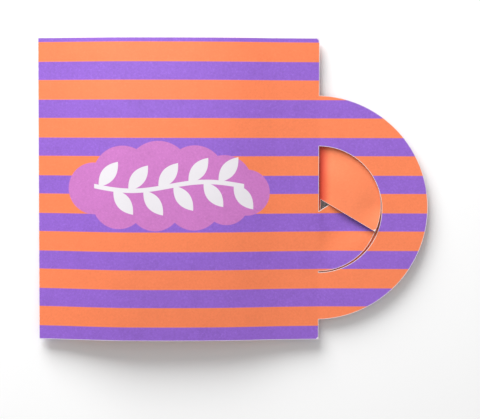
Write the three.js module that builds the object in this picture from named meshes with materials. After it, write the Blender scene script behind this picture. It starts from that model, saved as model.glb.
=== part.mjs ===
// A mug-shaped folding card wallet that holds one filter tea bag, lying on its back.
// Millimetres. +Z is out of the front panel, +Y towards the top edge, and +X towards the mug's
// handle, with the fold along the left. The origin is the bottom centre of the whole object.
import * as THREE from 'three';

const { lerp, smoothstep, clamp, degToRad } = THREE.MathUtils;

// ---- Card: one die-cut sheet, folded once --------------------------------------------------
const BODY_WIDTH = 70.0;            // fold to the straight right edge
const BODY_HEIGHT = 75.2;
const CARD = 0.3;                   // thickness of the card
const HANDLE_RADIUS = 28.0;
const HANDLE_CENTRE = { x: 69.2, y: -4.6 };         // from the fold, from mid-height

const CLOSING_PLANE = 2.4;          // the two panels close on this height, off the ground
const SHEET_SPACING = 1.0;          // between them there, from middle to middle
const FRONT_CREST = 5.6;            // rise of the front panel's bulge above its edges
const END_FLATTENING = 0.28;        // share of that rise lost at the top and bottom edges
const CREST_X = [0, 5, 10, 21, 29, 48, 60, 70];     // the bulge's section across the body
const CREST_SHARE = [0, 0.19, 0.46, 0.95, 1.0, 0.78, 0.28, 0];
const BACK_FLAT = [13.0, 48.0];     // the back panel lies flat between these distances

// ---- Handle window, closed by two lock flaps of the same sheet -----------------------------
const FRONT_LOCK = {
  centre: { x: 69.95, y: -5.0 },    // of the D-shaped window's arc
  windowRadius: 15.8,
  flapCentreY: -0.5,                // the flap's arc, from the window's centre
  flapRadius: 15.0,
  apexY: -0.5,                      // where the flap's straight edge meets its hinge
  edgeAngle: degToRad(32),
  side: -1,                         // hinged along the window's lower half
  bend: -1,                         // and pressed to the back
  heldFrom: -5.0,                   // the back panel starts to hold it at this height
  heldOver: 8.0,                    // and holds it fully after this distance,
  heldShare: 0.35,                  // where it keeps this share of its bend
  rootSlope: Math.tan(degToRad(22)),
  curl: 2.5,                        // the slope eases off over this distance from the hinge
};
const BACK_LOCK = {
  centre: { x: 70.5, y: -3.9 },
  windowRadius: 15.25,
  flapCentreY: 0,
  flapRadius: 15.05,
  apexY: 1.4,
  edgeAngle: degToRad(-30.6),
  side: 1,
  bend: 1,
  heldFrom: -10.5,
  heldOver: 6.9,
  heldShare: 0.12,
  rootSlope: Math.tan(degToRad(42)),
  curl: 1.2,
};
const FLAP_TIP_SLOPE = Math.tan(degToRad(2.5));
const FLAP_FREE = 8.0;              // it comes free over this distance from that panel's rim

// ---- Filter tea bag: two sheets sealed all round, with the tea between them -----------------
const BAG_WIDTH = 60.0;
const BAG_HEIGHT = 63.0;
const BAG_CENTRE_X = 35.0;
const SEAL_WIDTH = 5.0;
const SEAL_PLANE = 2.55;            // height of the sealed margins
const FILTER = 0.12;                // thickness of one filter sheet
const SEAL_GAP = 0.05;              // between the two sheets where they are sealed
const BAG_CLEARANCE = 0.3;          // from the pocket to the card
const TEA_CLEARANCE = 0.3;          // from the tea to the filter
const TEA_SHARE = 0.8;              // the tea's outline, as a share of the pocket's
const CORNER_POWER = 4;             // roundness of the pocket's corners in plan
const SIDE_POWER = 0.7;             // steepness of its sides

// ---- Fineness of the meshes -----------------------------------------------------------------
const PANEL_EDGE = 8.0;             // longest triangle edge
const FLAP_EDGE = 2.4;
const TEA_EDGE = 8.0;
const ARC_STEP = 3.0;
const FOLD_STEPS = 4;
const BODY_ROWS = 12;
const BODY_COLUMNS = [4, 8, 4];     // up to, along and after the back's flat strip
const BAG_STEPS = 10;               // across the pocket, each way
const TEA_STEPS = 28;

const LENGTH = HANDLE_CENTRE.x + HANDLE_RADIUS;
const HALF_HEIGHT = BODY_HEIGHT / 2;
const FOLD_RADIUS = SHEET_SPACING / 2;
const FOLD_END = CARD / 2 + FOLD_RADIUS;            // the fold's arc ends at this distance
const FOLD_HALF = FOLD_RADIUS * Math.PI / 2;        // half the length of card in that arc
const JOIN_X = BODY_WIDTH - 3;                      // the body's grid meets the handle here
const SAME = 1e-6;

const crest = new THREE.CubicInterpolant(CREST_X, CREST_SHARE, 1);
const vector = (x, y) => new THREE.Vector2(x, y);

// ---- Heights of the sheets, in plan: x from the fold, y from mid-height ---------------------

function frontHeight(x, y) {
  const share = crest.evaluate(clamp(x, 0, BODY_WIDTH))[0];
  const ends = 1 - END_FLATTENING * (y / HALF_HEIGHT) ** 2;
  return CLOSING_PLANE + SHEET_SPACING / 2 + FRONT_CREST * Math.max(0, share) * ends;
}

function backHeight(x) {
  const atFold = 1 - smoothstep(x, 0, BACK_FLAT[0]);
  const atHandle = smoothstep(x, BACK_FLAT[1], BODY_WIDTH);
  const lift = CLOSING_PLANE - SHEET_SPACING / 2 - CARD / 2;
  return CARD / 2 + lift * Math.max(atFold, atHandle);
}

function inWindow(lock, x, y) {
  const reach = Math.hypot(x - lock.centre.x, y - lock.centre.y);
  return x > lock.centre.x - SAME && reach < lock.windowRadius - CARD / 2;
}

// How far a lock flap has left its sheet: most inside the other panel's window and by its free
// corner, and least by the rest of that window's rim, which holds it.
function flapBend(lock, x, y) {
  if (!inWindow(lock, x, y)) return 0;
  const out = x - lock.centre.x;
  const curled = lock.curl * (1 - Math.exp(-out / lock.curl));
  const full = out * FLAP_TIP_SLOPE + (lock.rootSlope - FLAP_TIP_SLOPE) * curled;
  const other = lock === FRONT_LOCK ? BACK_LOCK : FRONT_LOCK;
  const inside = other.windowRadius - Math.hypot(x - other.centre.x, y - other.centre.y);
  const beyond = smoothstep(lock.side * (y - lock.heldFrom), 0, lock.heldOver);
  const held = beyond * (1 - smoothstep(inside, 0.3, FLAP_FREE));
  return lock.bend * full * lerp(1, lock.heldShare, held);
}

// ---- Flat meshes: points and triangles on the sheet before it is bent -----------------------

function emptyMesh() {
  return { points: [], triangles: [], index: new Map() };
}

function addPoint(mesh, point) {
  const key = `${point.x.toFixed(4)},${point.y.toFixed(4)}`;
  if (!mesh.index.has(key)) {
    mesh.index.set(key, mesh.points.length);
    mesh.points.push(point);
  }
  return mesh.index.get(key);
}

function addTriangle(mesh, a, b, c) {
  const turn = (b.x - a.x) * (c.y - a.y) - (b.y - a.y) * (c.x - a.x);
  const corners = turn > 0 ? [a, b, c] : [a, c, b];
  mesh.triangles.push(corners.map((corner) => addPoint(mesh, corner)));
}

function addPolygon(mesh, outline, holes = []) {
  const all = outline.concat(...holes);
  for (const [a, b, c] of THREE.ShapeUtils.triangulateShape(outline, holes)) {
    addTriangle(mesh, all[a], all[b], all[c]);
  }
}

function addGrid(mesh, xs, ys) {
  for (let i = 0; i + 1 < xs.length; i++) {
    for (let j = 0; j + 1 < ys.length; j++) {
      const [low, high] = [vector(xs[i], ys[j]), vector(xs[i + 1], ys[j + 1])];
      addTriangle(mesh, low, vector(high.x, low.y), high);
      addTriangle(mesh, low, high, vector(low.x, high.y));
    }
  }
}

// Halve every edge that is longer than its limit, until none is left. The two triangles on an
// edge share its midpoint, so no gap opens between them.
function refine(mesh, limitAt) {
  let found = true;
  while (found) {
    const old = mesh.triangles;
    mesh.triangles = [];
    for (const triangle of old) {
      const corners = triangle.map((i) => mesh.points[i]);
      splitTriangle(mesh, corners, corners.map((from, k) => {
        const to = corners[(k + 1) % 3];
        const middle = vector((from.x + to.x) / 2, (from.y + to.y) / 2);
        return from.distanceTo(to) > limitAt(middle) ? middle : null;
      }));
    }
    found = mesh.triangles.length > old.length;
  }
}

function splitTriangle(mesh, corners, middles) {
  const cuts = middles.filter(Boolean).length;
  // Start from a cut edge that is followed by the other cut edge, where there are two.
  const start = Math.max(0, [0, 1, 2].findIndex(
    (k) => middles[k] && (cuts !== 2 || middles[(k + 1) % 3]),
  ));
  const [a, b, c] = [0, 1, 2].map((k) => corners[(start + k) % 3]);
  const [ab, bc, ca] = [0, 1, 2].map((k) => middles[(start + k) % 3]);
  const pieces = [
    [[a, b, c]],
    [[a, ab, c], [ab, b, c]],
    [[ab, b, bc], [a, ab, bc], [a, bc, c]],
    [[a, ab, ca], [ab, b, bc], [ca, bc, c], [ab, bc, ca]],
  ];
  pieces[cuts].forEach((piece) => addTriangle(mesh, ...piece));
}

// A closed solid from a flat mesh: its outer face, its inner face, and a wall on each free edge.
function solidBetween(mesh, outer, inner) {
  const count = mesh.points.length;
  const position = [];
  for (const face of [outer, inner]) {
    mesh.points.forEach((point) => position.push(...face(point)));
  }
  const index = [];
  const free = new Map();
  for (const [a, b, c] of mesh.triangles) {
    index.push(a, b, c, count + a, count + c, count + b);
    for (const [from, to] of [[a, b], [b, c], [c, a]]) {
      if (!free.delete(`${to} ${from}`)) free.set(`${from} ${to}`, [from, to]);
    }
  }
  for (const [from, to] of free.values()) {
    index.push(from, count + from, to, to, count + from, count + to);
  }
  const geometry = new THREE.BufferGeometry();
  geometry.setAttribute('position', new THREE.Float32BufferAttribute(position, 3));
  geometry.setIndex(index);
  geometry.computeVertexNormals();
  return geometry;
}

// ---- Outlines of the card, in plan ----------------------------------------------------------

function steps(from, to, count) {
  return Array.from({ length: count + 1 }, (_, i) => lerp(from, to, i / count));
}

function arc(centre, radius, from, to) {
  const count = 2 * Math.ceil(Math.abs(to - from) * radius / ARC_STEP / 2);
  return steps(from, to, count).map((angle) => vector(
    centre.x + radius * Math.cos(angle),
    centre.y + radius * Math.sin(angle),
  ));
}

function bodyRows() {
  return steps(-HALF_HEIGHT, HALF_HEIGHT, BODY_ROWS);
}

function bodyColumns() {
  const ends = [FOLD_END, ...BACK_FLAT, JOIN_X];
  return BODY_COLUMNS.flatMap((count, i) => steps(ends[i], ends[i + 1], count).slice(i && 1));
}

function handleOutline() {
  const notch = Math.acos((BODY_WIDTH - HANDLE_CENTRE.x) / HANDLE_RADIUS);
  return [
    vector(BODY_WIDTH, -HALF_HEIGHT),
    ...arc(HANDLE_CENTRE, HANDLE_RADIUS, -notch, notch),
    vector(BODY_WIDTH, HALF_HEIGHT),
    ...bodyRows().reverse().map((y) => vector(JOIN_X, y)),
  ];
}

function hingeEnds(lock) {
  const apex = lock.centre.y + lock.apexY;
  const rim = lock.centre.y + lock.flapCentreY + lock.side * lock.flapRadius;
  return { apex: vector(lock.centre.x, apex), rim: vector(lock.centre.x, rim) };
}

// The window is a D. The flap's hinge is a stretch of its straight side.
function windowOutline(lock) {
  const { apex, rim } = hingeEnds(lock);
  const straight = lock.side < 0 ? [apex, rim] : [rim, apex];
  return [...arc(lock.centre, lock.windowRadius, -Math.PI / 2, Math.PI / 2), ...straight];
}

// A flap has its hinge, an arc, and a straight edge from its free corner back to the hinge.
function flapOutline(lock) {
  const centre = vector(lock.centre.x, lock.centre.y + lock.flapCentreY);
  const { apex } = hingeEnds(lock);
  const along = vector(Math.cos(lock.edgeAngle), Math.sin(lock.edgeAngle));
  const offset = apex.clone().sub(centre);
  const half = offset.dot(along);
  const reach = Math.sqrt(half ** 2 + lock.flapRadius ** 2 - offset.lengthSq()) - half;
  const corner = offset.addScaledVector(along, reach);
  const end = Math.atan2(corner.y, corner.x);
  return [apex, ...arc(centre, lock.flapRadius, lock.side * Math.PI / 2, end)];
}

// ---- The folded card ------------------------------------------------------------------------

// Along the sheet the front panel is positive and the back panel negative, from the fold's middle.
function toSheet(side, points) {
  return points.map(({ x, y }) => vector(side * (x - FOLD_END + FOLD_HALF), y));
}

function lockOf(along) {
  return along > 0 ? FRONT_LOCK : BACK_LOCK;
}

function planX(along) {
  return Math.abs(along) - FOLD_HALF + FOLD_END;
}

function foldedPoint(along, y) {
  if (Math.abs(along) < FOLD_HALF) {
    const angle = along / FOLD_RADIUS;
    const x = FOLD_END - FOLD_RADIUS * Math.cos(angle);
    return new THREE.Vector3(x, y, CLOSING_PLANE + FOLD_RADIUS * Math.sin(angle));
  }
  const x = planX(along);
  const lock = lockOf(along);
  const sheetX = inWindow(lock, x, y) ? lock.centre.x : x;
  const height = along > 0 ? frontHeight(sheetX, y) : backHeight(sheetX);
  return new THREE.Vector3(x, y, height + flapBend(lock, x, y));
}

// A hinge line takes the normal of its panel, so that the panel's edge stays straight there.
function foldedNormal(along, y) {
  const step = 0.01;
  const side = Math.sign(along) || 1;
  const onHingeLine = Math.abs(planX(along) - lockOf(along).centre.x) < SAME;
  const outward = foldedPoint(along + (onHingeLine ? 0 : side * step), y);
  const across = outward.sub(foldedPoint(along - side * step, y)).multiplyScalar(side);
  const up = foldedPoint(along, y + step).sub(foldedPoint(along, y - step));
  return across.cross(up).normalize();
}

function mugCard() {
  const mesh = emptyMesh();
  addGrid(mesh, steps(-FOLD_HALF, FOLD_HALF, FOLD_STEPS), bodyRows());
  for (const side of [1, -1]) {
    const lock = lockOf(side);
    const columns = toSheet(side, bodyColumns().map((x) => ({ x, y: 0 }))).map((p) => p.x);
    addGrid(mesh, columns, bodyRows());
    addPolygon(mesh, toSheet(side, handleOutline()), [toSheet(side, windowOutline(lock))]);
    addPolygon(mesh, toSheet(side, flapOutline(lock)));
  }
  refine(mesh, ({ x, y }) => (inWindow(lockOf(x), planX(x), y) ? FLAP_EDGE : PANEL_EDGE));
  const face = (out) => ({ x, y }) => {
    return foldedPoint(x, y).addScaledVector(foldedNormal(x, y), out * CARD / 2);
  };
  return solidBetween(mesh, face(1), face(-1));
}

// ---- The tea bag ----------------------------------------------------------------------------

// 1 in the middle of the pocket and 0 at its rounded outline and on the sealed margins.
function pocketShare(x, y) {
  const across = Math.abs(x - BAG_CENTRE_X) / (BAG_WIDTH / 2 - SEAL_WIDTH);
  const up = Math.abs(y) / (BAG_HEIGHT / 2 - SEAL_WIDTH);
  return Math.max(0, 1 - across ** CORNER_POWER - up ** CORNER_POWER) ** SIDE_POWER;
}

// Middle heights of the two filter sheets: they fill the room between the card's panels.
function filterHeights(x, y) {
  const apart = (FILTER + SEAL_GAP) / 2;
  const room = CARD / 2 + FILTER / 2 + BAG_CLEARANCE;
  const share = pocketShare(x, y);
  return {
    front: lerp(SEAL_PLANE + apart, frontHeight(x, y) - room, share),
    back: lerp(SEAL_PLANE - apart, backHeight(x) + room, share),
  };
}

function bagLines(centre, size) {
  const pocket = size / 2 - SEAL_WIDTH;
  return [
    centre - size / 2,
    ...steps(centre - pocket, centre + pocket, BAG_STEPS),
    centre + size / 2,
  ];
}

function filterSheet(which) {
  const mesh = emptyMesh();
  addGrid(mesh, bagLines(BAG_CENTRE_X, BAG_WIDTH), bagLines(0, BAG_HEIGHT));
  const face = (out) => ({ x, y }) => {
    return new THREE.Vector3(x, y, filterHeights(x, y)[which] + out * FILTER / 2);
  };
  return solidBetween(mesh, face(1), face(-1));
}

function teaLeaves() {
  const mesh = emptyMesh();
  const halfWidth = TEA_SHARE * (BAG_WIDTH / 2 - SEAL_WIDTH);
  const halfHeight = TEA_SHARE * (BAG_HEIGHT / 2 - SEAL_WIDTH);
  const rounded = (value) => Math.sign(value) * Math.abs(value) ** (2 / CORNER_POWER);
  addPolygon(mesh, steps(0, 2 * Math.PI, TEA_STEPS).slice(1).map((angle) => vector(
    BAG_CENTRE_X + halfWidth * rounded(Math.cos(angle)),
    halfHeight * rounded(Math.sin(angle)),
  )));
  refine(mesh, () => TEA_EDGE);
  const room = FILTER / 2 + TEA_CLEARANCE;
  return solidBetween(
    mesh,
    ({ x, y }) => new THREE.Vector3(x, y, filterHeights(x, y).front - room),
    ({ x, y }) => new THREE.Vector3(x, y, filterHeights(x, y).back + room),
  );
}

// ---- Assembly -------------------------------------------------------------------------------

function piece(name, geometry, colour, roughness) {
  const material = new THREE.MeshStandardMaterial({ color: colour, roughness, metalness: 0 });
  const mesh = new THREE.Mesh(geometry, material);
  mesh.name = name;
  return mesh;
}

const wallet = new THREE.Group();
wallet.add(
  piece('mug_card', mugCard(), 0xfa8a5a, 0.6),
  piece('filter_front_sheet', filterSheet('front'), 0xf1f0ec, 0.9),
  piece('filter_back_sheet', filterSheet('back'), 0xf1f0ec, 0.9),
  piece('tea_leaves', teaLeaves(), 0x33241c, 0.85),
);
wallet.position.x = -LENGTH / 2;

export default wallet;
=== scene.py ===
"""A striped, mug-shaped card wallet with a filter tea bag inside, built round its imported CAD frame.

It is laid out as an add-on and is run as a script. Lengths are in metres in the frame's own axes:
+Z out of the front panel, +Y to the top edge and +X to the mug's handle.
"""

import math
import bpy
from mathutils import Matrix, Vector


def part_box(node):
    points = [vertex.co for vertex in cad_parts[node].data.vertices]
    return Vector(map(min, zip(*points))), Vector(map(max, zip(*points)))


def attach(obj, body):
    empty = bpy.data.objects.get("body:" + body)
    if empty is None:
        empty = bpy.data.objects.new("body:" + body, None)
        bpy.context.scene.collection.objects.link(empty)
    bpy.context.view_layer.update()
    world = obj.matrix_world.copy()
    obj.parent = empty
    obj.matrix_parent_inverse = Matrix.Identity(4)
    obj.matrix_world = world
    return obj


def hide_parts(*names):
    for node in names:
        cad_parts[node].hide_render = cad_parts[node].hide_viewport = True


bl_info = {
    "name": "Mug Tea Wallet",
    "version": (1, 0, 0),
    "blender": (4, 5, 0),
    "location": "View3D > Sidebar > Tea Wallet",
    "description": "Builds a striped, mug-shaped card wallet with a filter tea bag inside",
    "category": "Add Mesh",
}

import bpy
import numpy as np
from bpy.props import FloatProperty, FloatVectorProperty, IntProperty, PointerProperty
from mathutils import Matrix, Vector, noise
from mathutils.geometry import delaunay_2d_cdt

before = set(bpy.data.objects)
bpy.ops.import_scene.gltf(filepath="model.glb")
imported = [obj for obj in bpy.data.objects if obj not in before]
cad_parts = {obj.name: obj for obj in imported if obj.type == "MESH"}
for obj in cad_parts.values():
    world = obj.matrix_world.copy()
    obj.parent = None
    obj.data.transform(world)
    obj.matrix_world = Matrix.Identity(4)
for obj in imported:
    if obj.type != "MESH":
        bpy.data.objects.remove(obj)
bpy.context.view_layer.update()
CARD_LOW, CARD_HIGH = (Vector(corner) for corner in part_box("mug_card"))
BAG_LOW, BAG_HIGH = (Vector(corner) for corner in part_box("filter_front_sheet"))
TEA_LOW, TEA_HIGH = (Vector(corner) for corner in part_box("tea_leaves"))
SEAL_PLANE = (BAG_LOW.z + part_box("filter_back_sheet")[1][2]) / 2

MM = 0.001

# The front panel's bulge: distances from the fold, and the share of its height reached there.
CREST_AT = np.array([0, 5, 10, 21, 29, 48, 60, 70]) * MM
CREST_SHARE = np.array([0, 0.19, 0.46, 0.95, 1.0, 0.78, 0.28, 0])
END_FLATTENING = 0.28               # share of the height lost at the top and bottom edges
BACK_FLAT = (13 * MM, 48 * MM)      # the back panel lies flat between these distances

HANDLE_CENTRE_Y = -4.6 * MM         # the handle's arc is centred below mid-height
FLAP_TIP_SLOPE = math.tan(math.radians(2.5))
HELD_EDGE = 0.3 * MM                # a flap starts to come free this far inside the other window
FLAP_FREE = 8 * MM                  # and is wholly free this far inside it
TOUCH = 0.05 * MM                   # a point this close to a flap's edge belongs to the flap

PANEL_STEP = 0.9 * MM               # spacing of the card's points
EDGE_STEP = 0.6 * MM                # and of those along its cut edges
LINE_CLEARANCE = PANEL_STEP * 0.45  # inner points keep this far from the blank's lines
FOLD_COLUMNS = 8
MERGE_DISTANCE = 1e-5               # points closer than this, in mm, become one
SHARP_CARD = math.radians(50)       # edges sharper than these stay hard
SHARP_LEAF = math.radians(60)


# ---- Sizes and colours that a user can change ----

class WalletCard(bpy.types.PropertyGroup):
    """Sizes of the folded card"""
    body_width: FloatProperty(
        name="Body Width", description="From the fold to the straight right edge",
        default=70 * MM, unit="LENGTH")
    body_height: FloatProperty(
        name="Body Height", description="From the bottom edge to the top edge",
        default=75.2 * MM, unit="LENGTH")
    thickness: FloatProperty(
        name="Card Thickness", description="Thickness of the card sheet",
        default=0.3 * MM, unit="LENGTH")
    handle_radius: FloatProperty(
        name="Handle Radius", description="Outer radius of the mug's handle",
        default=28 * MM, unit="LENGTH")
    closing_height: FloatProperty(
        name="Closing Height", description="Height at which the two panels meet",
        default=2.4 * MM, unit="LENGTH")
    sheet_spacing: FloatProperty(
        name="Sheet Spacing", description="Between the middles of the two panels at the handle",
        default=1.0 * MM, unit="LENGTH")
    crest_height: FloatProperty(
        name="Crest Height", description="Rise of the front panel over its edges",
        default=5.6 * MM, unit="LENGTH")


class WalletPrint(bpy.types.PropertyGroup):
    """Colours and layout of the print"""
    orange: FloatVectorProperty(
        name="Orange", description="Orange ink", subtype="COLOR", size=3, min=0, max=1,
        default=(0.95, 0.226, 0.082))
    purple: FloatVectorProperty(
        name="Purple", description="Purple ink", subtype="COLOR", size=3, min=0, max=1,
        default=(0.288, 0.119, 0.62))
    pink: FloatVectorProperty(
        name="Pink", description="Pink ink of the cloud", subtype="COLOR", size=3, min=0, max=1,
        default=(0.60, 0.185, 0.545))
    inside: FloatVectorProperty(
        name="Inside", description="Plain ink on the inner face", subtype="COLOR", size=3,
        min=0, max=1, default=(0.95, 0.238, 0.092))
    # Painted shade: the deep red that the inner face's colour turns to beside the flaps' hinges
    crimp_and_hinge_shade: FloatVectorProperty(
        name="Hinge Shade", description="Ink beside the scored hinges", subtype="COLOR", size=3,
        min=0, max=1, default=(0.66, 0.03, 0.012))
    white: FloatVectorProperty(
        name="White", description="Unprinted white of the coated face", subtype="COLOR", size=3,
        min=0, max=1, default=(0.80, 0.77, 0.81))
    board: FloatVectorProperty(
        name="Board", description="White of the card's cut edges", subtype="COLOR", size=3,
        min=0, max=1, default=(0.93, 0.87, 0.85))
    stripe_width: FloatProperty(
        name="Stripe Width", description="Width of one stripe",
        default=4.703 * MM, unit="LENGTH")
    first_stripe: FloatProperty(
        name="First Stripe", description="Width of the cut-off stripe along the top edge",
        default=1.16 * MM, unit="LENGTH")


class WalletBag(bpy.types.PropertyGroup):
    """Sizes of the filter bag and its tea"""
    paper: FloatProperty(
        name="Filter Thickness", description="Thickness of one filter sheet",
        default=0.12 * MM, unit="LENGTH")
    seal_gap: FloatProperty(
        name="Seal Gap", description="Between the two sheets in the sealed edges",
        default=0.05 * MM, unit="LENGTH")
    seal_width: FloatProperty(
        name="Seal Width", description="Width of the sealed edges",
        default=5 * MM, unit="LENGTH")
    clearance: FloatProperty(
        name="Clearance", description="Room that the filled bag leaves to the card",
        default=0.3 * MM, unit="LENGTH")
    leaf_density: FloatProperty(
        name="Leaf Density", description="Tea leaves to a square metre of bag", default=520000)
    leaf_length: FloatProperty(
        name="Leaf Length", description="Longest rolled leaf", default=8.5 * MM, unit="LENGTH")
    leaf_width: FloatProperty(
        name="Leaf Width", description="Width of a rolled leaf", default=1.3 * MM, unit="LENGTH")
    seed: IntProperty(name="Seed", description="Which scatter of leaves is made", default=7)


class WalletStage(bpy.types.PropertyGroup):
    """Camera and light"""
    distance: FloatProperty(
        name="Camera Distance", description="From the camera to the wallet",
        default=399.5 * MM, unit="LENGTH")
    lens: FloatProperty(
        name="Lens", description="Focal length", unit="CAMERA", default=120)
    key_energy: FloatProperty(
        name="Key Light", description="Power of the main light", unit="POWER", default=3.4)
    fill_energy: FloatProperty(
        name="Fill Light", description="Power of the broad light overhead", unit="POWER",
        default=2.7)
    world_strength: FloatProperty(
        name="Surroundings", description="Brightness of the surroundings", default=0.34)


# ---- Outlines of the blank, in plan from the fold and mid-height ----

class Lock:
    """A handle window and the lock flap that stays hinged to its straight side."""

    def __init__(self, side, centre, radius, flap_rise, flap_radius, apex, edge, root, curl, held):
        self.centre = np.array(centre) * MM
        self.radius = radius * MM
        self.flap_centre = self.centre + np.array([0, flap_rise]) * MM
        self.flap_radius = flap_radius * MM
        self.apex = self.centre + np.array([0, apex]) * MM
        self.along = np.array([math.cos(math.radians(edge)), math.sin(math.radians(edge))])
        self.side = side
        self.root_slope = math.tan(math.radians(root))
        self.curl = curl * MM
        self.held = np.array(held[:2]) * MM
        self.held_share = held[2]
        offset = self.apex - self.flap_centre
        half = offset @ self.along
        reach = math.sqrt(half**2 + self.flap_radius**2 - offset @ offset) - half
        self.corner = self.apex + reach * self.along

    def in_window(self, points):
        """Whether points in plan lie in the D-shaped window."""
        reach = np.hypot(*(points - self.centre).T)
        return (points[:, 0] > self.centre[0]) & (reach < self.radius)

    def in_flap(self, points):
        """Whether points in plan lie on the flap, its edges included."""
        reach = np.hypot(*(points - self.flap_centre).T)
        beside = points - self.apex
        across = (self.along[0] * beside[:, 1] - self.along[1] * beside[:, 0]) * self.side
        beyond = points[:, 0] > self.centre[0]
        return beyond & (reach < self.flap_radius + TOUCH) & (across > -TOUCH)

    def bend(self, points, other):
        """How far a flap has left its sheet at each point, up or down through the other window."""
        out = np.clip(points[:, 0] - self.centre[0], 0, None)
        curled = self.curl * (1 - np.exp(-out / self.curl))
        full = out * FLAP_TIP_SLOPE + (self.root_slope - FLAP_TIP_SLOPE) * curled
        inside = other.radius - np.hypot(*(points - other.centre).T)
        beyond = smoothstep(self.side * (points[:, 1] - self.held[0]), 0, self.held[1])
        held = beyond * (1 - smoothstep(inside, HELD_EDGE, FLAP_FREE))
        return self.side * full * (1 - held * (1 - self.held_share))

    def window_lines(self):
        """The window's arc, its straight side above and below the hinge, and the hinge."""
        x, low, high = self.centre[0], self.centre[1] - self.radius, self.centre[1] + self.radius
        rim = self.flap_centre[1] + self.side * self.flap_radius
        hinge = sorted((self.apex[1], rim))
        cuts = [
            arc(self.centre, self.radius, -math.pi / 2, math.pi / 2),
            line((x, high), (x, hinge[1])),
            line((x, hinge[0]), (x, low)),
        ]
        return cuts, line((x, hinge[1]), (x, hinge[0]))

    def flap_lines(self):
        """The flap's arc and its straight free edge."""
        end = self.corner - self.flap_centre
        start = self.side * math.pi / 2
        return [
            arc(self.flap_centre, self.flap_radius, start, math.atan2(end[1], end[0])),
            line(self.corner, self.apex),
        ]


# Distances in millimetres and angles in degrees. A flap's arc and apex are given by how far
# they stand above the middle of its window's arc. The other panel holds it from one height over
# a distance, and leaves it a share of its bend.
FRONT_LOCK = Lock(
    side=-1, centre=(69.95, -5.0), radius=15.8, flap_rise=-0.5, flap_radius=15.0, apex=-0.5,
    edge=32, root=22, curl=2.5, held=(-5.0, 8.0, 0.35))
BACK_LOCK = Lock(
    side=1, centre=(70.5, -3.9), radius=15.25, flap_rise=0.0, flap_radius=15.05, apex=1.4,
    edge=-30.6, root=42, curl=1.2, held=(-10.5, 6.9, 0.12))


def smoothstep(value, low, high):
    """0 below low and 1 above high, with a smooth climb between."""
    t = np.clip((value - low) / (high - low), 0, 1)
    return t * t * (3 - 2 * t)


def line(start, end):
    """Points along a straight edge, both ends included."""
    start, end = np.array(start, float), np.array(end, float)
    count = max(1, round(float(np.hypot(*(end - start))) / EDGE_STEP))
    return start + np.linspace(0, 1, count + 1)[:, None] * (end - start)


def arc(centre, radius, start, end):
    """Points along an arc, both ends included."""
    count = 2 * math.ceil(abs(end - start) * radius / EDGE_STEP / 2)
    angles = np.linspace(start, end, count + 1)
    return np.stack([centre[0] + radius * np.cos(angles), centre[1] + radius * np.sin(angles)], 1)


def handle_centre(card):
    """Centre of the handle's outer arc, in plan."""
    return np.array([CARD_HIGH.x - CARD_LOW.x - card.handle_radius, HANDLE_CENTRE_Y])


def mug_outline(card):
    """The cut edge of one mug half, from the fold's bottom end round to its top end."""
    right, top = card.body_width, card.body_height / 2
    centre = handle_centre(card)
    notch = math.acos((right - centre[0]) / card.handle_radius)
    handle = arc(centre, card.handle_radius, -notch, notch)
    return [
        line((fold_end(card), -top), (right, -top)),
        line((right, -top), handle[0]),
        handle,
        line(handle[-1], (right, top)),
        line((right, top), (fold_end(card), top)),
    ]


# ---- Bending the blank ----

def fold_end(card):
    """Where the fold's arc runs out into a panel, in plan."""
    return (card.thickness + card.sheet_spacing) / 2


def fold_half(card):
    """Half the length of card in the fold's arc."""
    return card.sheet_spacing / 2 * math.pi / 2


def to_blank(card, side, points):
    """From plan to the flat blank, on which the back panel lies at negative distances."""
    return np.stack([side * (points[:, 0] - fold_end(card) + fold_half(card)), points[:, 1]], 1)


def to_plan(card, points):
    """From the flat blank to plan."""
    return np.stack([abs(points[:, 0]) - fold_half(card) + fold_end(card), points[:, 1]], 1)


def crest_share(x):
    """A smooth curve through the crest's knots."""
    slopes = np.gradient(CREST_SHARE, CREST_AT)
    i = np.clip(np.searchsorted(CREST_AT, x) - 1, 0, len(CREST_AT) - 2)
    width = CREST_AT[i + 1] - CREST_AT[i]
    t = np.clip((x - CREST_AT[i]) / width, 0, 1)
    start, end = CREST_SHARE[i], CREST_SHARE[i + 1]
    bend = slopes[i] * width * t * (1 - t) ** 2 - slopes[i + 1] * width * t**2 * (1 - t)
    return np.clip(start + (end - start) * (3 - 2 * t) * t**2 + bend, 0, None)


def front_height(card, x, y):
    """Height of the middle of the front panel."""
    ends = 1 - END_FLATTENING * (y / (card.body_height / 2)) ** 2
    base = card.closing_height + card.sheet_spacing / 2
    return base + card.crest_height * crest_share(x) * ends


def back_height(card, x):
    """Height of the middle of the back panel."""
    lift = card.closing_height - card.sheet_spacing / 2 - card.thickness / 2
    at_fold = 1 - smoothstep(x, 0, BACK_FLAT[0])
    at_handle = smoothstep(x, BACK_FLAT[1], card.body_width)
    return card.thickness / 2 + lift * np.maximum(at_fold, at_handle)


def bent(card, blank):
    """Places of the blank's points once it is folded round the tea bag and locked."""
    plan = to_plan(card, blank)
    front = blank[:, 0] > 0
    height = np.empty(len(blank))
    for lock, other, chosen in (
            (FRONT_LOCK, BACK_LOCK, front), (BACK_LOCK, FRONT_LOCK, ~front)):
        points = plan[chosen]
        flap = lock.in_flap(points)
        x = np.where(flap, lock.centre[0], points[:, 0])
        sheet = front_height(card, x, points[:, 1]) if lock is FRONT_LOCK else back_height(card, x)
        height[chosen] = sheet + np.where(flap, lock.bend(points, other), 0)
    radius = card.sheet_spacing / 2
    angle = blank[:, 0] / radius
    folded = abs(blank[:, 0]) < fold_half(card)
    x = np.where(folded, fold_end(card) - radius * np.cos(angle), plan[:, 0])
    z = np.where(folded, card.closing_height + radius * np.sin(angle), height)
    return np.stack([x + CARD_LOW.x, plan[:, 1], z], 1)


# ---- The card's mesh ----

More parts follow.
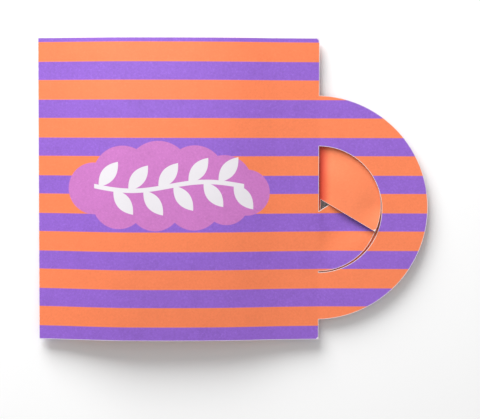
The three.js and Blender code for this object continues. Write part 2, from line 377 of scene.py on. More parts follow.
def blank_lines(card):
    """The flat blank's lines: those that are cut through, and the flaps' hinges."""
    top, fold = card.body_height / 2, fold_half(card)
    across = np.linspace(-fold, fold, FOLD_COLUMNS + 1)
    cuts = [np.stack([across, np.full_like(across, y)], 1) for y in (-top, top)]
    hinges = []
    for side, lock in ((1, FRONT_LOCK), (-1, BACK_LOCK)):
        window, hinge = lock.window_lines()
        for points in mug_outline(card) + window + lock.flap_lines():
            cuts.append(to_blank(card, side, points))
        hinges.append(to_blank(card, side, hinge))
    return cuts, hinges


def distance_to(lines, points):
    """Distance from each point to the nearest of the lines."""
    nearest = np.full(len(points), np.inf)
    for path in lines:
        for start, end in zip(path[:-1], path[1:]):
            edge = end - start
            t = np.clip((points - start) @ edge / (edge @ edge), 0, 1)
            offset = points - start - t[:, None] * edge
            nearest = np.minimum(nearest, np.hypot(offset[:, 0], offset[:, 1]))
    return nearest


def inner_points(card, lines):
    """An even grid over the blank, closer together in the fold, and clear of its lines."""
    panel = np.arange(fold_half(card) + PANEL_STEP, CARD_HIGH.x - CARD_LOW.x, PANEL_STEP)
    fold = np.linspace(-fold_half(card), fold_half(card), FOLD_COLUMNS + 1)
    rows = np.arange(-card.body_height / 2, card.body_height / 2, PANEL_STEP)[1:]
    grid = np.stack(np.meshgrid(np.concatenate([-panel, fold, panel]), rows), -1).reshape(-1, 2)
    plan = to_plan(card, grid)
    handle = np.hypot(*(plan - handle_centre(card)).T) < card.handle_radius
    inside = grid[(plan[:, 0] < card.body_width) | handle]
    return inside[distance_to(lines, inside) > LINE_CLEARANCE]


def blank_triangles(card):
    """The blank's points and triangles, with the offcuts in the windows left out."""
    cuts, hinges = blank_lines(card)
    points, edges = [], []
    for path in cuts + hinges:
        edges += [(len(points) + i, len(points) + i + 1) for i in range(len(path) - 1)]
        points += list(path)
    points += list(inner_points(card, cuts + hinges))
    in_mm = [Vector(point / MM) for point in points]
    found = delaunay_2d_cdt(in_mm, edges, [], 1, MERGE_DISTANCE)
    points = np.array([tuple(point) for point in found[0]]) * MM
    triangles = np.array(found[2])
    middles = points[triangles].mean(1)
    plan = to_plan(card, middles)
    offcut = np.zeros(len(triangles), bool)
    for lock, panel in ((FRONT_LOCK, middles[:, 0] > 0), (BACK_LOCK, middles[:, 0] < 0)):
        offcut |= panel & lock.in_window(plan) & ~lock.in_flap(plan)
    used, triangles = np.unique(triangles[~offcut], return_inverse=True)
    return points[used], triangles.reshape(-1, 3), cuts, hinges


def mesh_object(name, places, faces):
    """A smooth-shaded mesh object in the scene."""
    mesh = bpy.data.meshes.new(name)
    mesh.from_pydata(places.tolist(), [], faces.tolist())
    mesh.shade_smooth()
    obj = bpy.data.objects.new(name, mesh)
    bpy.context.collection.objects.link(obj)
    return obj


def store(mesh, name, kind, values):
    """Keeps a value for each point of a mesh, for its material."""
    attribute = mesh.attributes.new(name, kind, "POINT")
    field = "vector" if kind == "FLOAT_VECTOR" else "value"
    attribute.data.foreach_set(field, np.ascontiguousarray(values, np.float32).ravel())


def bake_modifiers(obj, sharp_angle):
    """Turns an object's modifiers into its mesh and keeps its corners sharp."""
    shaped = obj.evaluated_get(bpy.context.evaluated_depsgraph_get())
    mesh = bpy.data.meshes.new_from_object(shaped)
    obj.modifiers.clear()
    obj.data = mesh
    mesh.set_sharp_from_angle(angle=sharp_angle)


def add_thickness(obj, thickness, inner_slot=0, rim_slot=0):
    """Gives a sheet its thickness, half to each side."""
    solidify = obj.modifiers.new("Thickness", "SOLIDIFY")
    solidify.thickness = thickness
    solidify.offset = 0
    solidify.use_even_offset = True
    solidify.material_offset = inner_slot
    solidify.material_offset_rim = rim_slot
    bake_modifiers(obj, SHARP_CARD)


# ---- The tea bag ----

BAG_STEP = 0.6 * MM                 # spacing of the filter sheets' points
POCKET_CORNER = 4                   # how square the pocket's corners are
POCKET_SIDE = 0.7                   # how steeply its sides rise
WRINKLE = 0.13 * MM                 # height of the filter's creases
WRINKLES_PER_METRE = 130
WRINKLE_FRACTAL = (0.9, 2.1, 3)     # smoothness, step in scale and number of octaves
WRINKLE_SHARPNESS = 2.6
WRINKLE_LAYER = 40.0                # sets the two sheets' creases apart
WRINKLE_GROWTH = 3                  # creases are full height at a third of the pocket's rise
CRIMP = 0.045 * MM                  # height and spacing of the ribs pressed into the seal
CRIMP_SPACING = 2.4 * MM
CRIMP_FADE = 12                     # the ribs are gone at a twelfth of the pocket's rise
TEA_STEP = 1 * MM
TEA_REACH = 0.86                    # share of the tea's box in which leaves have their middles
TEA_CLEARANCE = 0.05 * MM           # least room between a leaf and a crease of the filter
LEAF_ROOM = 0.5 * MM                # a leaf's middle stays this far inside the tea's limits
LEAF_GIVE = 0.4 * MM                # depth beside each limit in which leaves are squashed
LEAST_GIVE = LEAF_GIVE / 10


def pocket_share(bag, x, y):
    """0 on the seal and 1 in the middle of the pocket, for points in plan."""
    middle = (BAG_LOW + BAG_HIGH) / 2
    half = (BAG_HIGH - BAG_LOW) / 2
    across = abs(x + CARD_LOW.x - middle.x) / (half.x - bag.seal_width)
    up = abs(y - middle.y) / (half.y - bag.seal_width)
    inside = 1 - across**POCKET_CORNER - up**POCKET_CORNER
    return np.clip(inside, 0, None) ** POCKET_SIDE


def bag_height(card, bag, x, y, side):
    """Height of the middle of the front (+1) or back (-1) filter sheet."""
    seal = SEAL_PLANE + side * (bag.paper + bag.seal_gap) / 2
    room = side * (card.thickness / 2 + bag.paper / 2 + bag.clearance)
    panel = front_height(card, x, y) if side > 0 else back_height(card, x)
    return seal + (panel - room - seal) * pocket_share(bag, x, y)


def creases(points, side):
    """Sharp-crested creases of soft paper, from -1 to 1."""
    layer = Vector((0, 0, WRINKLE_LAYER * side))
    places = (Vector((x, y, 0)) * WRINKLES_PER_METRE + layer for x, y in points)
    waves = (abs(noise.fractal(place, *WRINKLE_FRACTAL)) for place in places)
    return np.array([1 - WRINKLE_SHARPNESS * wave for wave in waves])


def grid_sheet(low, high, step):
    """Plan coordinates of an even grid between two corners, and its faces."""
    across, up = (round((high[i] - low[i]) / step) + 1 for i in (0, 1))
    xs = np.linspace(low[0], high[0], across) - CARD_LOW.x
    x, y = (part.ravel() for part in np.meshgrid(xs, np.linspace(low[1], high[1], up)))
    first = np.arange(across * (up - 1)).reshape(-1, across)[:, :-1].ravel()
    return x, y, np.stack([first, first + 1, first + across + 1, first + across], 1)


def filter_sheet(card, bag, side, name):
    """One wrinkled filter sheet, domed over the tea and crimped along its sealed edges."""
    x, y, faces = grid_sheet(BAG_LOW, BAG_HIGH, BAG_STEP)
    share = pocket_share(bag, x, y)
    height = bag_height(card, bag, x, y, side)
    grown = np.clip(share * WRINKLE_GROWTH, 0, 1)
    height += WRINKLE * creases(np.stack([x, y], 1), side) * grown
    crimp_and_hinge_shade = np.clip(1 - share * CRIMP_FADE, 0, 1)
    height += CRIMP * crimp_and_hinge_shade * np.sin(2 * math.pi * seal_distance(x, y) / CRIMP_SPACING)
    obj = mesh_object(name, np.stack([x + CARD_LOW.x, y, height], 1), faces)
    store(obj.data, "pocket", "FLOAT", share)
    return obj


def seal_distance(x, y):
    """How far along its sealed edge a point lies, so that the pressed ribs run across the seal."""
    half = (BAG_HIGH - BAG_LOW) / 2
    middle = (BAG_LOW + BAG_HIGH) / 2
    beside = abs(x + CARD_LOW.x - middle.x) / half.x > abs(y - middle.y) / half.y
    return np.where(beside, y, x)


def tea_limits(card, bag, x, y):
    """How low and how high tea may lie inside the bag."""
    room = bag.paper / 2 + WRINKLE + TEA_CLEARANCE
    return bag_height(card, bag, x, y, -1) + room, bag_height(card, bag, x, y, 1) - room


def tea_patch(card, bag):
    """A flat patch under the tea, which knows how low and how high its leaves may lie."""
    middle, reach = (TEA_LOW + TEA_HIGH) / 2, (TEA_HIGH - TEA_LOW) * (TEA_REACH / 2)
    x, y, faces = grid_sheet(middle - reach, middle + reach, TEA_STEP)
    obj = mesh_object("tea", np.stack([x + CARD_LOW.x, y, np.zeros_like(x)], 1), faces)
    low, high = tea_limits(card, bag, x, y)
    store(obj.data, "low", "FLOAT", low + LEAF_ROOM)
    store(obj.data, "high", "FLOAT", high - LEAF_ROOM)
    return obj


def press_between(card, bag, mesh):
    """Squashes leaves that lean too far, ever thinner towards the inside of the bag."""
    places = np.empty(len(mesh.vertices) * 3, np.float32)
    mesh.vertices.foreach_get("co", places)
    places = places.reshape(-1, 3)
    low, high = tea_limits(card, bag, places[:, 0] - CARD_LOW.x, places[:, 1])
    give = np.clip((high - low) / 2, LEAST_GIVE, LEAF_GIVE)
    free = np.clip(places[:, 2], low + give, high - give)
    past = places[:, 2] - free
    places[:, 2] = free + np.sign(past) * give * (1 - np.exp(-abs(past) / give))
    mesh.vertices.foreach_set("co", places.ravel())
    mesh.update()


# ---- Node building ----

class Value:
    """A socket of a node tree; Python's operators on it add Math nodes."""

    def __init__(self, nodes, socket):
        self.nodes = nodes
        self.socket = socket

    def maths(self, operation, *values):
        return self.nodes.node("ShaderNodeMath", {"operation": operation}, dict(enumerate(values)))

    def __add__(self, other):
        return self.maths("ADD", self, other)

    __radd__ = __add__

    def __sub__(self, other):
        return self.maths("SUBTRACT", self, other)

    def __rsub__(self, other):
        return self.maths("SUBTRACT", other, self)

    def __mul__(self, other):
        return self.maths("MULTIPLY", self, other)

    __rmul__ = __mul__

    def __truediv__(self, other):
        return self.maths("DIVIDE", self, other)

    def __pow__(self, other):
        return self.maths("POWER", self, other)

    def __abs__(self):
        return self.maths("ABSOLUTE", self)

    def sine(self):
        return self.maths("SINE", self)

    def least(self, other):
        return self.maths("MINIMUM", self, other)

    def most(self, other):
        return self.maths("MAXIMUM", self, other)

    def rise(self, low, high):
        """0 below low and 1 above high, with a smooth climb between."""
        return self.nodes.node(
            "ShaderNodeMapRange", {"interpolation_type": "SMOOTHSTEP"},
            {"Value": self, "From Min": low, "From Max": high})

    def fall(self, low, high):
        """1 below low and 0 above high."""
        return 1 - self.rise(low, high)


class Nodes:
    """A node tree being built."""

    def __init__(self, tree):
        self.tree = tree

    def node(self, kind, settings=None, inputs=None, output=0):
        """Adds a node: its settings first, then the values or links of its sockets."""
        node = self.tree.nodes.new(kind)
        for name, value in (settings or {}).items():
            setattr(node, name, value)
        for name, value in (inputs or {}).items():
            self.feed(node.inputs[name], value)
        return Value(self, node.outputs[output])

    def feed(self, socket, value):
        """Links a value to a socket, or sets the socket's own number or colour."""
        if isinstance(value, Value):
            self.tree.links.new(value.socket, socket)
        elif socket.type == "RGBA":
            socket.default_value = (*value[:3], 1)
        else:
            socket.default_value = value


class Scatter(Nodes):
    """A Geometry Nodes tree with named inputs."""

    def __init__(self, name, **kinds):
        super().__init__(bpy.data.node_groups.new(name, "GeometryNodeTree"))
        interface = self.tree.interface
        interface.new_socket("Geometry", in_out="OUTPUT", socket_type="NodeSocketGeometry")
        interface.new_socket("Geometry", in_out="INPUT", socket_type="NodeSocketGeometry")
        sockets = [
            interface.new_socket(title, in_out="INPUT", socket_type="NodeSocket" + kind)
            for title, kind in kinds.items()
        ]
        self.identifiers = {socket.name: socket.identifier for socket in sockets}
        self.entry = self.tree.nodes.new("NodeGroupInput")

    def input(self, name):
        """One of the tree's own inputs."""
        return Value(self, self.entry.outputs[name])

    def random(self, low, high, which, seed):
        """A random number, or vector, for each value of which."""
        vector = isinstance(low, tuple)
        kind, first = ("FLOAT_VECTOR", 0) if vector else ("FLOAT", 2)
        inputs = {first: low, first + 1: high, "Seed": seed}
        if which:
            inputs["ID"] = which
        return self.node("FunctionNodeRandomValue", {"data_type": kind}, inputs, 0 if vector else 1)

    def named(self, name):
        """A number stored on the incoming geometry."""
        return self.node("GeometryNodeInputNamedAttribute", {"data_type": "FLOAT"}, {"Name": name})

    def finish(self, geometry, material):
        """Ends the tree in one real mesh with its material."""
        real = self.node("GeometryNodeRealizeInstances", {}, {"Geometry": geometry})
        painted = self.node(
            "GeometryNodeSetMaterial", {}, {"Geometry": real, "Material": material})
        self.feed(self.tree.nodes.new("NodeGroupOutput").inputs[0], painted)

    def apply(self, obj, **values):
        """Runs the tree on an object and keeps the result as its plain mesh."""
        modifier = obj.modifiers.new(self.tree.name, "NODES")
        modifier.node_group = self.tree
        for name, value in values.items():
            modifier[self.identifiers[name]] = value
        bake_modifiers(obj, SHARP_LEAF)


class Shader(Nodes):
    """A material being built round a Principled surface."""

    def __init__(self, name):
        self.material = bpy.data.materials.new(name)
        self.material.use_nodes = True
        super().__init__(self.material.node_tree)
        self.surface = self.tree.nodes["Principled BSDF"]

    def set(self, **inputs):
        """Feeds the surface's sockets; an underscore stands for a space in a name."""
        for name, value in inputs.items():
            self.feed(self.surface.inputs[name.replace("_", " ")], value)

    def mix(self, share, start, end):
        """Mixes two colours."""
        return self.node(
            "ShaderNodeMix", {"data_type": "RGBA"}, {0: share, 6: start, 7: end}, 2)

    def attribute(self, name, output="Fac"):
        """A value stored on the mesh's points."""
        return self.node("ShaderNodeAttribute", {"attribute_name": name}, output=output)

    def place(self):
        """Object coordinates."""
        return self.node("ShaderNodeTexCoord", output="Object")

    def noise(self, place, scale, detail=2.0, roughness=0.5):
        """A cloudy pattern from 0 to 1, about scale features to a metre."""
        return self.node(
            "ShaderNodeTexNoise", {},
            {"Vector": place, "Scale": scale, "Detail": detail, "Roughness": roughness})

    def parts(self, vector):
        """The two plane coordinates of a vector."""
        node = self.node("ShaderNodeSeparateXYZ", {}, {0: vector}).socket.node
        return Value(self, node.outputs[0]), Value(self, node.outputs[1])

    def distance(self, vector, centre):
        """Distance from a vector to a fixed point in the plane."""
        return self.node(
            "ShaderNodeVectorMath", {"operation": "DISTANCE"},
            {0: vector, 1: (*centre, 0)}, "Value")

    def stretched(self, vector, scale):
        """A vector scaled differently along each axis."""
        return self.node("ShaderNodeMapping", {"vector_type": "POINT"}, {
            "Vector": vector, "Scale": scale})

    def turned(self, vector, centre, angle):
        """A vector measured from a centre along turned axes."""
        return self.node(
            "ShaderNodeMapping", {"vector_type": "TEXTURE"},
            {"Vector": vector, "Location": (*centre, 0), "Rotation": (0, 0, angle)})

    def bump(self, height, distance, strength=1.0, under=None):
        """Small relief of the given depth, over another bump if one is given."""
        inputs = {"Height": height, "Distance": distance, "Strength": strength}
        if under:
            inputs["Normal"] = under
        return self.node("ShaderNodeBump", {}, inputs)


# ---- Tea leaves ----

LEAF_POINTS = 8
LEAF_SIDES = 6
LEAF_FLATNESS = 0.55                # a rolled leaf's thickness over its width
LEAF_LEAN_UP = 0.10                 # greatest lean out of the flat, in radians
LEAF_TWIST = 4.0                    # greatest twist along a leaf, in radians
LEAF_WAVE = 1.1 * MM
LEAF_WAVES_PER_METRE = 170
LEAF_WAVE_SHIFT = 0.37              # sets one leaf's waves apart from the next one's
LEAST_LENGTH = 0.4                  # the smallest leaf's share of the greatest length
LEAST_WIDTH = 0.55                  # and of the greatest width
TIP_SHARE = 0.15                    # a leaf's width at its tips over its width in the middle


def leaf_scatter(material):
    """A tree that fills the space over a patch with rolled, twisted leaves of tea."""
    tree = Scatter("tea_leaves", Density="Float", Length="Float", Width="Float", Seed="Int")
    seed = tree.input("Seed")
    points = tree.node("GeometryNodeDistributePointsOnFaces", {}, {
        "Mesh": tree.input("Geometry"), "Density": tree.input("Density"), "Seed": seed})
    low, high = tree.named("low"), tree.named("high")
    height = low + (high - low) * tree.random(0.0, 1.0, None, seed)
    lifted = tree.node("GeometryNodeSetPosition", {}, {
        "Geometry": points, "Offset": tree.node("ShaderNodeCombineXYZ", {}, {"Z": height})})
    spine = tree.node("GeometryNodeResampleCurve", {}, {"Count": LEAF_POINTS, "Curve": tree.node(
        "GeometryNodeCurvePrimitiveLine", {}, {"Start": (-0.5, 0, 0), "End": (0.5, 0, 0)})})
    turn = tree.random(
        (-LEAF_LEAN_UP, -LEAF_LEAN_UP, 0.0), (LEAF_LEAN_UP, LEAF_LEAN_UP, math.tau), None, seed)
    spines = tree.node("GeometryNodeInstanceOnPoints", {}, {
        "Points": lifted, "Instance": spine, "Rotation": turn,
        "Scale": tree.input("Length") * tree.random(LEAST_LENGTH, 1.0, None, 3)})
    spines = tree.node("GeometryNodeRealizeInstances", {}, {"Geometry": spines})
    leaf_number = tree.node("GeometryNodeCurveOfPoint")
    wave = tree.node("ShaderNodeTexNoise", {"noise_dimensions": "4D"}, {
        "Vector": tree.node("GeometryNodeInputPosition"), "W": leaf_number * LEAF_WAVE_SHIFT,
        "Scale": LEAF_WAVES_PER_METRE, "Detail": 0.0}, "Color")
    bend = tree.node("ShaderNodeVectorMath", {"operation": "MULTIPLY_ADD"}, {
        0: wave, 1: (2 * LEAF_WAVE, 2 * LEAF_WAVE, LEAF_WAVE), 2: (-LEAF_WAVE, -LEAF_WAVE, 0)})
    spines = tree.node("GeometryNodeSetPosition", {}, {"Geometry": spines, "Offset": bend})
    along = tree.node("GeometryNodeSplineParameter")
    spines = tree.node("GeometryNodeSetCurveTilt", {}, {
        "Curve": spines, "Tilt": along * tree.random(-LEAF_TWIST, LEAF_TWIST, leaf_number, 5)})
    spines = tree.node("GeometryNodeStoreNamedAttribute", {"domain": "CURVE"}, {
        "Geometry": spines, "Name": "leaf_tone", "Value": tree.random(0.0, 1.0, None, 11)})
    taper = (along * math.pi).sine().most(0.0) ** 0.6 * (1 - TIP_SHARE) + TIP_SHARE
    profile = tree.node("GeometryNodeTransform", {}, {
        "Scale": (1.0, LEAF_FLATNESS, 1.0), "Geometry": tree.node(
            "GeometryNodeCurvePrimitiveCircle", {}, {"Resolution": LEAF_SIDES, "Radius": 0.5})})
    leaves = tree.node("GeometryNodeCurveToMesh", {}, {
        "Curve": spines, "Profile Curve": profile, "Fill Caps": True,
        "Scale": taper * tree.input("Width") * tree.random(LEAST_WIDTH, 1.0, leaf_number, 8)})
    tree.finish(leaves, material)
    return tree


# ---- Materials ----

PAPER_GRAIN = 3200                  # features to a metre
PAPER_FLOW = 90
SHEEN_FLOW = 700
SHEEN_SPREAD = 0.16                 # how much the card's roughness varies
STRIPE_EDGE = (-0.099, -0.009)      # the phase's sine across an edge: orange is a little wider
TRAP_SHARE = 0.45                   # strength of the thin line where two inks overlap
HINGE_SHADE_FADE = (0.1 * MM, 2.8 * MM)   # painted shade beside the hinges fades out between these distances
# strength of the painted shade at the hinges themselves
HINGE_SHADE_SHARE = 0.85
CLOUD_CENTRE = (32.9 * MM, 0.9 * MM)
CLOUD_PUFFS = (                     # x, y and radius of each puff, in millimetres
    (-18.6, -0.6, 6.4), (-11.4, 2.6, 7.4), (-2.6, 3.2, 8.0), (6.4, 2.8, 7.3), (13.6, 0.8, 6.9),
    (19.2, -1.6, 5.7), (-12.4, -4.0, 6.6), (-3.4, -4.6, 6.5), (6.2, -4.2, 6.7), (14.2, -4.0, 5.6),
)
SPRIG_HALF = 18.5 * MM
SPRIG_WAVE = 1.1 * MM
STEM_HALF_WIDTH = 0.55 * MM
LEAF_HALF_LENGTH = 3.9 * MM
LEAF_HALF_WIDTH = 1.75 * MM
LEAF_LEAN = math.radians(52)
LEAF_PAIRS = 5
PAIR_SIDES = ((1, 0.25), (-1, 0.75))  # side and share of the spacing for each leaf of a pair
PAIR_BACKSET = 0.1                  # share of the spacing by which roots stand back
LEAF_REACH = LEAF_HALF_LENGTH * 1.02
INK_EDGE = 0.07 * MM                # softness of a printed edge


def sprig_height(x):
    """The wave that the sprig's stem follows."""
    return SPRIG_WAVE * math.sin(math.pi * x / SPRIG_HALF)


def leaf(shader, place, centre, angle):
    """Below 0 inside one pointed leaf."""
    along, across = shader.parts(shader.turned(place, centre, angle))
    taper = 1 - (along / LEAF_HALF_LENGTH) ** 2
    return abs(across) - taper * LEAF_HALF_WIDTH


def sprig(shader, place):
    """1 on a leafy sprig printed across the cloud, and 0 off it."""
    x, y = shader.parts(place)
    wave = ((x - CLOUD_CENTRE[0]) * (math.pi / SPRIG_HALF)).sine() * SPRIG_WAVE
    stem = abs(y - CLOUD_CENTRE[1] - wave) - STEM_HALF_WIDTH
    shape = stem.most(abs(x - CLOUD_CENTRE[0]) - SPRIG_HALF)
    spacing = 2 * SPRIG_HALF / LEAF_PAIRS
    for i in range(LEAF_PAIRS):
        for side, shift in PAIR_SIDES:
            root = -SPRIG_HALF + spacing * (i + shift) - PAIR_BACKSET * spacing
            angle = side * LEAF_LEAN
            centre = (
                CLOUD_CENTRE[0] + root + LEAF_REACH * math.cos(angle),
                CLOUD_CENTRE[1] + sprig_height(root) + LEAF_REACH * math.sin(angle),
            )
            shape = shape.least(leaf(shader, place, centre, angle))
    return shape.fall(-INK_EDGE, INK_EDGE)


def cloud(shader, place):
    """1 on the cloud of round puffs, and 0 off it."""
    shape = None
    for x, y, radius in CLOUD_PUFFS:
        centre = (CLOUD_CENTRE[0] + x * MM, CLOUD_CENTRE[1] + y * MM)
        puff = shader.distance(place, centre) - radius * MM
        shape = puff if shape is None else shape.least(puff)
    return shape.fall(-INK_EDGE, INK_EDGE)


def paper_relief(shader, place):
    """The fine tooth of the board and its slow unevenness."""
    slow = shader.bump(shader.noise(place, PAPER_FLOW, 3), 0.12 * MM)
    return shader.bump(shader.noise(place, PAPER_GRAIN, 3, 0.6), 0.006 * MM, under=slow)


def mottled(shader, place, colour, share):
    """Ink that lies a little unevenly on the board."""
    darker = [channel * 0.80 for channel in colour]
    lighter = [min(1, channel * 1.12 + 0.02) for channel in colour]
    specks = shader.noise(place, 1900, 3, 0.8)
    clouds = shader.noise(place, 240, 3, 0.55).rise(0.35, 0.75)
    dense = shader.mix((specks.rise(0.45, 0.72) * 0.7 + clouds * 0.3) * share, colour, darker)
    return shader.mix(specks.fall(0.28, 0.47) * share, dense, lighter)


def printed_card(card, ink):
    """The outer face: stripes all over, with the cloud and sprig on the front panel."""
    shader = Shader("printed_card")
    place = shader.place()
    blank = shader.attribute("blank", "Vector")
    along, up = shader.parts(blank)
    phase = (card.body_height / 2 - ink.first_stripe - up) * (math.pi / ink.stripe_width)
    orange = phase.sine().rise(*STRIPE_EDGE)
    stripes = shader.mix(
        orange, mottled(shader, place, ink.purple, 0.9), mottled(shader, place, ink.orange, 0.5))
    trap = (1 - abs(orange * 2 - 1)) * TRAP_SHARE
    stripes = shader.mix(trap, stripes, ink.inside)
    badge = shader.mix(cloud(shader, blank), stripes, mottled(shader, place, ink.pink, 0.7))
    print_colour = shader.mix(sprig(shader, blank), badge, ink.white)
    wear = worn_edges(shader, place, along)
    shader.set(
        Base_Color=shader.mix(wear, print_colour, ink.board),
        Roughness=shader.noise(place, SHEEN_FLOW) * SHEEN_SPREAD + 0.46,
        Normal=paper_relief(shader, place),
    )
    return shader.material


def worn_edges(shader, place, along):
    """1 where the ink has rubbed off: just beside the cut edges, and in places on the fold."""
    cut = shader.attribute("cut_distance")
    ragged = shader.noise(place, 1800) * (0.16 * MM)
    edge = cut.fall(0.02 * MM, 0.1 * MM + ragged)
    crease = abs(along).fall(0.1 * MM, 0.5 * MM) * shader.noise(place, 900).rise(0.5, 0.75)
    return edge.most(crease * 0.55) * 0.8


def plain_card(ink):
    """The inner face, printed plain, with painted shade in deep red beside the hinges."""
    shader = Shader("plain_card")
    place = shader.place()
    cut = shader.attribute("cut_distance").fall(0.02 * MM, 0.12 * MM) * 0.7
    # Painted shade: deep red is mixed into the colour beside the hinges, standing in for the shadow
    # and red bounce light in the narrow gaps there
    hinge_shade = shader.attribute("hinge_distance").fall(*HINGE_SHADE_FADE) * HINGE_SHADE_SHARE
    colour = shader.mix(hinge_shade, mottled(shader, place, ink.inside, 0.4), ink.crimp_and_hinge_shade)
    shader.set(
        Base_Color=shader.mix(cut, colour, ink.board),
        Roughness=shader.noise(place, SHEEN_FLOW) * SHEEN_SPREAD + 0.5,
        Normal=paper_relief(shader, place),
    )
    return shader.material


def cut_board(ink):
    """The white board in the card's cut edges."""
    shader = Shader("cut_board")
    place = shader.place()
    fibres = shader.noise(place, 5200, 3)
    grey = [channel * 0.8 for channel in ink.board]
    shader.set(
        Base_Color=shader.mix(fibres, grey, ink.board),
        Roughness=0.85,
        Normal=shader.bump(fibres, 0.02 * MM),
    )
    return shader.material


def filter_paper():
    """Soft white non-woven filter: pressed fibres, greyed where the tea lies behind it."""
    shader = Shader("filter_paper")
    place = shader.place()
    fibres = shader.noise(shader.stretched(place, (1, 0.22, 1)), 2600, 3, 0.6)
    crossed = shader.noise(shader.stretched(place, (0.22, 1, 1)), 2600, 3, 0.6)
    web = (fibres + crossed) * 0.5
    pocket = shader.attribute("pocket").rise(0.1, 0.7)
    specks = shader.noise(place, 900, 4, 0.75).rise(0.42, 0.62)
    white = shader.mix(web.rise(0.35, 0.6), (0.62, 0.62, 0.60), (0.86, 0.86, 0.84))
    shader.set(
        Base_Color=shader.mix(pocket * (specks * 0.45 + 0.12), white, (0.20, 0.18, 0.17)),
        Roughness=web * 0.15 + 0.8,
        Normal=shader.bump(web, 0.05 * MM),
    )
    return shader.material


def dry_tea():
    """Black tea: most leaves near black, with a few olive and orange-brown ones."""
    shader = Shader("dry_tea")
    place = shader.place()
    tone = shader.attribute("leaf_tone")
    streaks = shader.noise(place, 1500, 3, 0.6)
    dark = shader.mix(tone * 1.2, (0.020, 0.012, 0.009), (0.075, 0.050, 0.040))
    olive = shader.mix(tone.rise(0.90, 0.92), dark, (0.17, 0.14, 0.045))
    leaf_colour = shader.mix(tone.rise(0.955, 0.965), olive, (0.34, 0.13, 0.03))
    shader.set(
        Base_Color=shader.mix(streaks.rise(0.35, 0.75) * 0.6, leaf_colour, (0.012, 0.008, 0.006)),
        Roughness=streaks * 0.3 + 0.5,
        Normal=shader.bump(streaks, 0.08 * MM),
    )
    return shader.material


# ---- Operators ----

KEY_PLACE = (-0.15, 0.395, 0.26)    # beyond the top left corner, low enough to shade steps
KEY_SIZE = 0.34
FILL_PLACE = (0.1, -0.1, 1.2)
FILL_SIZE = 1.6
VIEW_TARGET = (1.7 * MM, -5.06 * MM, 2.85 * MM)
VIEW_LEAN = 20.3 * MM               # the camera stands this far towards the top edge
VIEW_ROLL = math.radians(0.1)
FLOOR_HALF = 2.0
FLOOR_Z = -0.02 * MM                # a hair below the back panel that rests on it
FLOOR_GREY = 0.985


class WALLET_OT_card(bpy.types.Operator):
    """Make the folded card with its window and lock flaps"""
    bl_idname = "wallet.card"
    bl_label = "Folded Card"

    def execute(self, context):
        card, ink = context.scene.wallet_card, context.scene.wallet_print
        points, triangles, cuts, hinges = blank_triangles(card)
        obj = mesh_object("card_wallet", bent(card, points), triangles)
        store(obj.data, "blank", "FLOAT_VECTOR", np.pad(points, ((0, 0), (0, 1))))
        store(obj.data, "cut_distance", "FLOAT", distance_to(cuts, points))
        store(obj.data, "hinge_distance", "FLOAT", distance_to(hinges, points))
        for material in (printed_card(card, ink), plain_card(ink), cut_board(ink)):
            obj.data.materials.append(material)
        add_thickness(obj, card.thickness, inner_slot=1, rim_slot=2)
        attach(obj, "root")
        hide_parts("mug_card")
        return {"FINISHED"}


class WALLET_OT_bag(bpy.types.Operator):
    """Make the two filter sheets of the tea bag"""
    bl_idname = "wallet.bag"
    bl_label = "Filter Bag"

    def execute(self, context):
        card, bag = context.scene.wallet_card, context.scene.wallet_bag
        material = filter_paper()
        for side, name, node in (
                (1, "filter_front", "filter_front_sheet"), (-1, "filter_back", "filter_back_sheet")):
            obj = filter_sheet(card, bag, side, name)
            obj.data.materials.append(material)
            add_thickness(obj, bag.paper)
            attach(obj, "root")
            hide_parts(node)
        return {"FINISHED"}


class WALLET_OT_tea(bpy.types.Operator):
    """Fill the bag with rolled tea leaves"""
    bl_idname = "wallet.tea"
    bl_label = "Tea Leaves"

    def execute(self, context):
        card, bag = context.scene.wallet_card, context.scene.wallet_bag
        obj = tea_patch(card, bag)
        leaf_scatter(dry_tea()).apply(
            obj, Density=bag.leaf_density, Length=bag.leaf_length, Width=bag.leaf_width,
            Seed=bag.seed)
        press_between(card, bag, obj.data)
        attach(obj, "root")
        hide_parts("tea_leaves")
        return {"FINISHED"}


class WALLET_OT_stage(bpy.types.Operator):
    """Set up the floor, the lights and the camera"""
    bl_idname = "wallet.stage"
    bl_label = "Stage"

    def execute(self, context):
        stage = context.scene.wallet_stage
        add_floor()
        add_light("key_light", KEY_PLACE, KEY_SIZE, stage.key_energy)
        add_light("fill_light", FILL_PLACE, FILL_SIZE, stage.fill_energy)
        world = bpy.data.worlds.new("studio")
        world.use_nodes = True
        background = world.node_tree.nodes["Background"].inputs
        background["Color"].default_value = (1, 1, 1, 1)
        background["Strength"].default_value = stage.world_strength
        context.scene.world = world
        context.scene.view_settings.view_transform = "Standard"
        add_camera(context.scene, stage)
        return {"FINISHED"}


def add_floor():
    """A plain pale floor under the wallet."""
    half, z = FLOOR_HALF, FLOOR_Z
    corners = np.array([(-half, -half, z), (half, -half, z), (half, half, z), (-half, half, z)])
    floor = mesh_object("floor", corners, np.array([(0, 1, 2, 3)]))
    shader = Shader("pale_floor")
    shader.set(Base_Color=(FLOOR_GREY,) * 3, Roughness=0.9)
    floor.data.materials.append(shader.material)


def aimed(obj, place, target, roll=0.0):
    """Puts a light or camera at a place, looking at a target with +Y up in its view."""
    back = (Vector(place) - Vector(target)).normalized()
    right = Vector((-math.sin(roll), math.cos(roll), 0)).cross(back).normalized()
    turn = Matrix((right, back.cross(right), back)).transposed()
    obj.location = place
    obj.rotation_euler = turn.to_euler()
    bpy.context.collection.objects.link(obj)


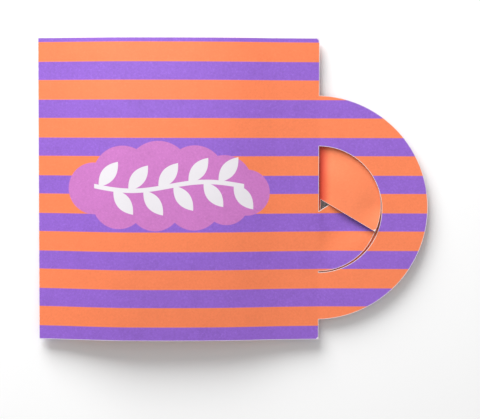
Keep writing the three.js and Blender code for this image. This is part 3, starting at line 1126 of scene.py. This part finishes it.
def add_light(name, place, size, energy):
    """A square soft light on the wallet."""
    data = bpy.data.lights.new(name, "AREA")
    data.size = size
    data.energy = energy
    aimed(bpy.data.objects.new(name, data), place, (0, 0, 0))


def add_camera(scene, stage):
    """The camera: almost straight above, a little nearer the top edge."""
    data = bpy.data.cameras.new("camera")
    data.lens = stage.lens
    target = Vector(VIEW_TARGET)
    offset = Vector((0, VIEW_LEAN, stage.distance))
    camera = bpy.data.objects.new("camera", data)
    aimed(camera, target + offset, target, VIEW_ROLL)
    scene.camera = camera


class WALLET_PT_build(bpy.types.Panel):
    """The wallet's sizes and the steps that build it"""
    bl_idname = "WALLET_PT_build"
    bl_label = "Tea Wallet"
    bl_space_type = "VIEW_3D"
    bl_region_type = "UI"
    bl_category = "Tea Wallet"

    def draw(self, context):
        for group, operators in PANEL_SECTIONS:
            settings = getattr(context.scene, group)
            box = self.layout.box()
            for name in settings.__annotations__:
                box.prop(settings, name)
            for operator in operators:
                box.operator(operator.bl_idname)


GROUPS = {
    "wallet_card": WalletCard,
    "wallet_print": WalletPrint,
    "wallet_bag": WalletBag,
    "wallet_stage": WalletStage,
}
OPERATORS = (WALLET_OT_card, WALLET_OT_bag, WALLET_OT_tea, WALLET_OT_stage)
PANEL_SECTIONS = (
    ("wallet_card", ()),
    ("wallet_print", (WALLET_OT_card,)),
    ("wallet_bag", (WALLET_OT_bag, WALLET_OT_tea)),
    ("wallet_stage", (WALLET_OT_stage,)),
)
CLASSES = (*GROUPS.values(), *OPERATORS, WALLET_PT_build)


def register():
    for cls in CLASSES:
        bpy.utils.register_class(cls)
    for name, group in GROUPS.items():
        setattr(bpy.types.Scene, name, PointerProperty(type=group))


def unregister():
    for name in GROUPS:
        delattr(bpy.types.Scene, name)
    for cls in reversed(CLASSES):
        bpy.utils.unregister_class(cls)


def main():
    """Builds every piece in order."""
    register()
    bpy.ops.wallet.card()
    bpy.ops.wallet.bag()
    bpy.ops.wallet.tea()
    bpy.ops.wallet.stage()


if __name__ == "__main__":
    main()
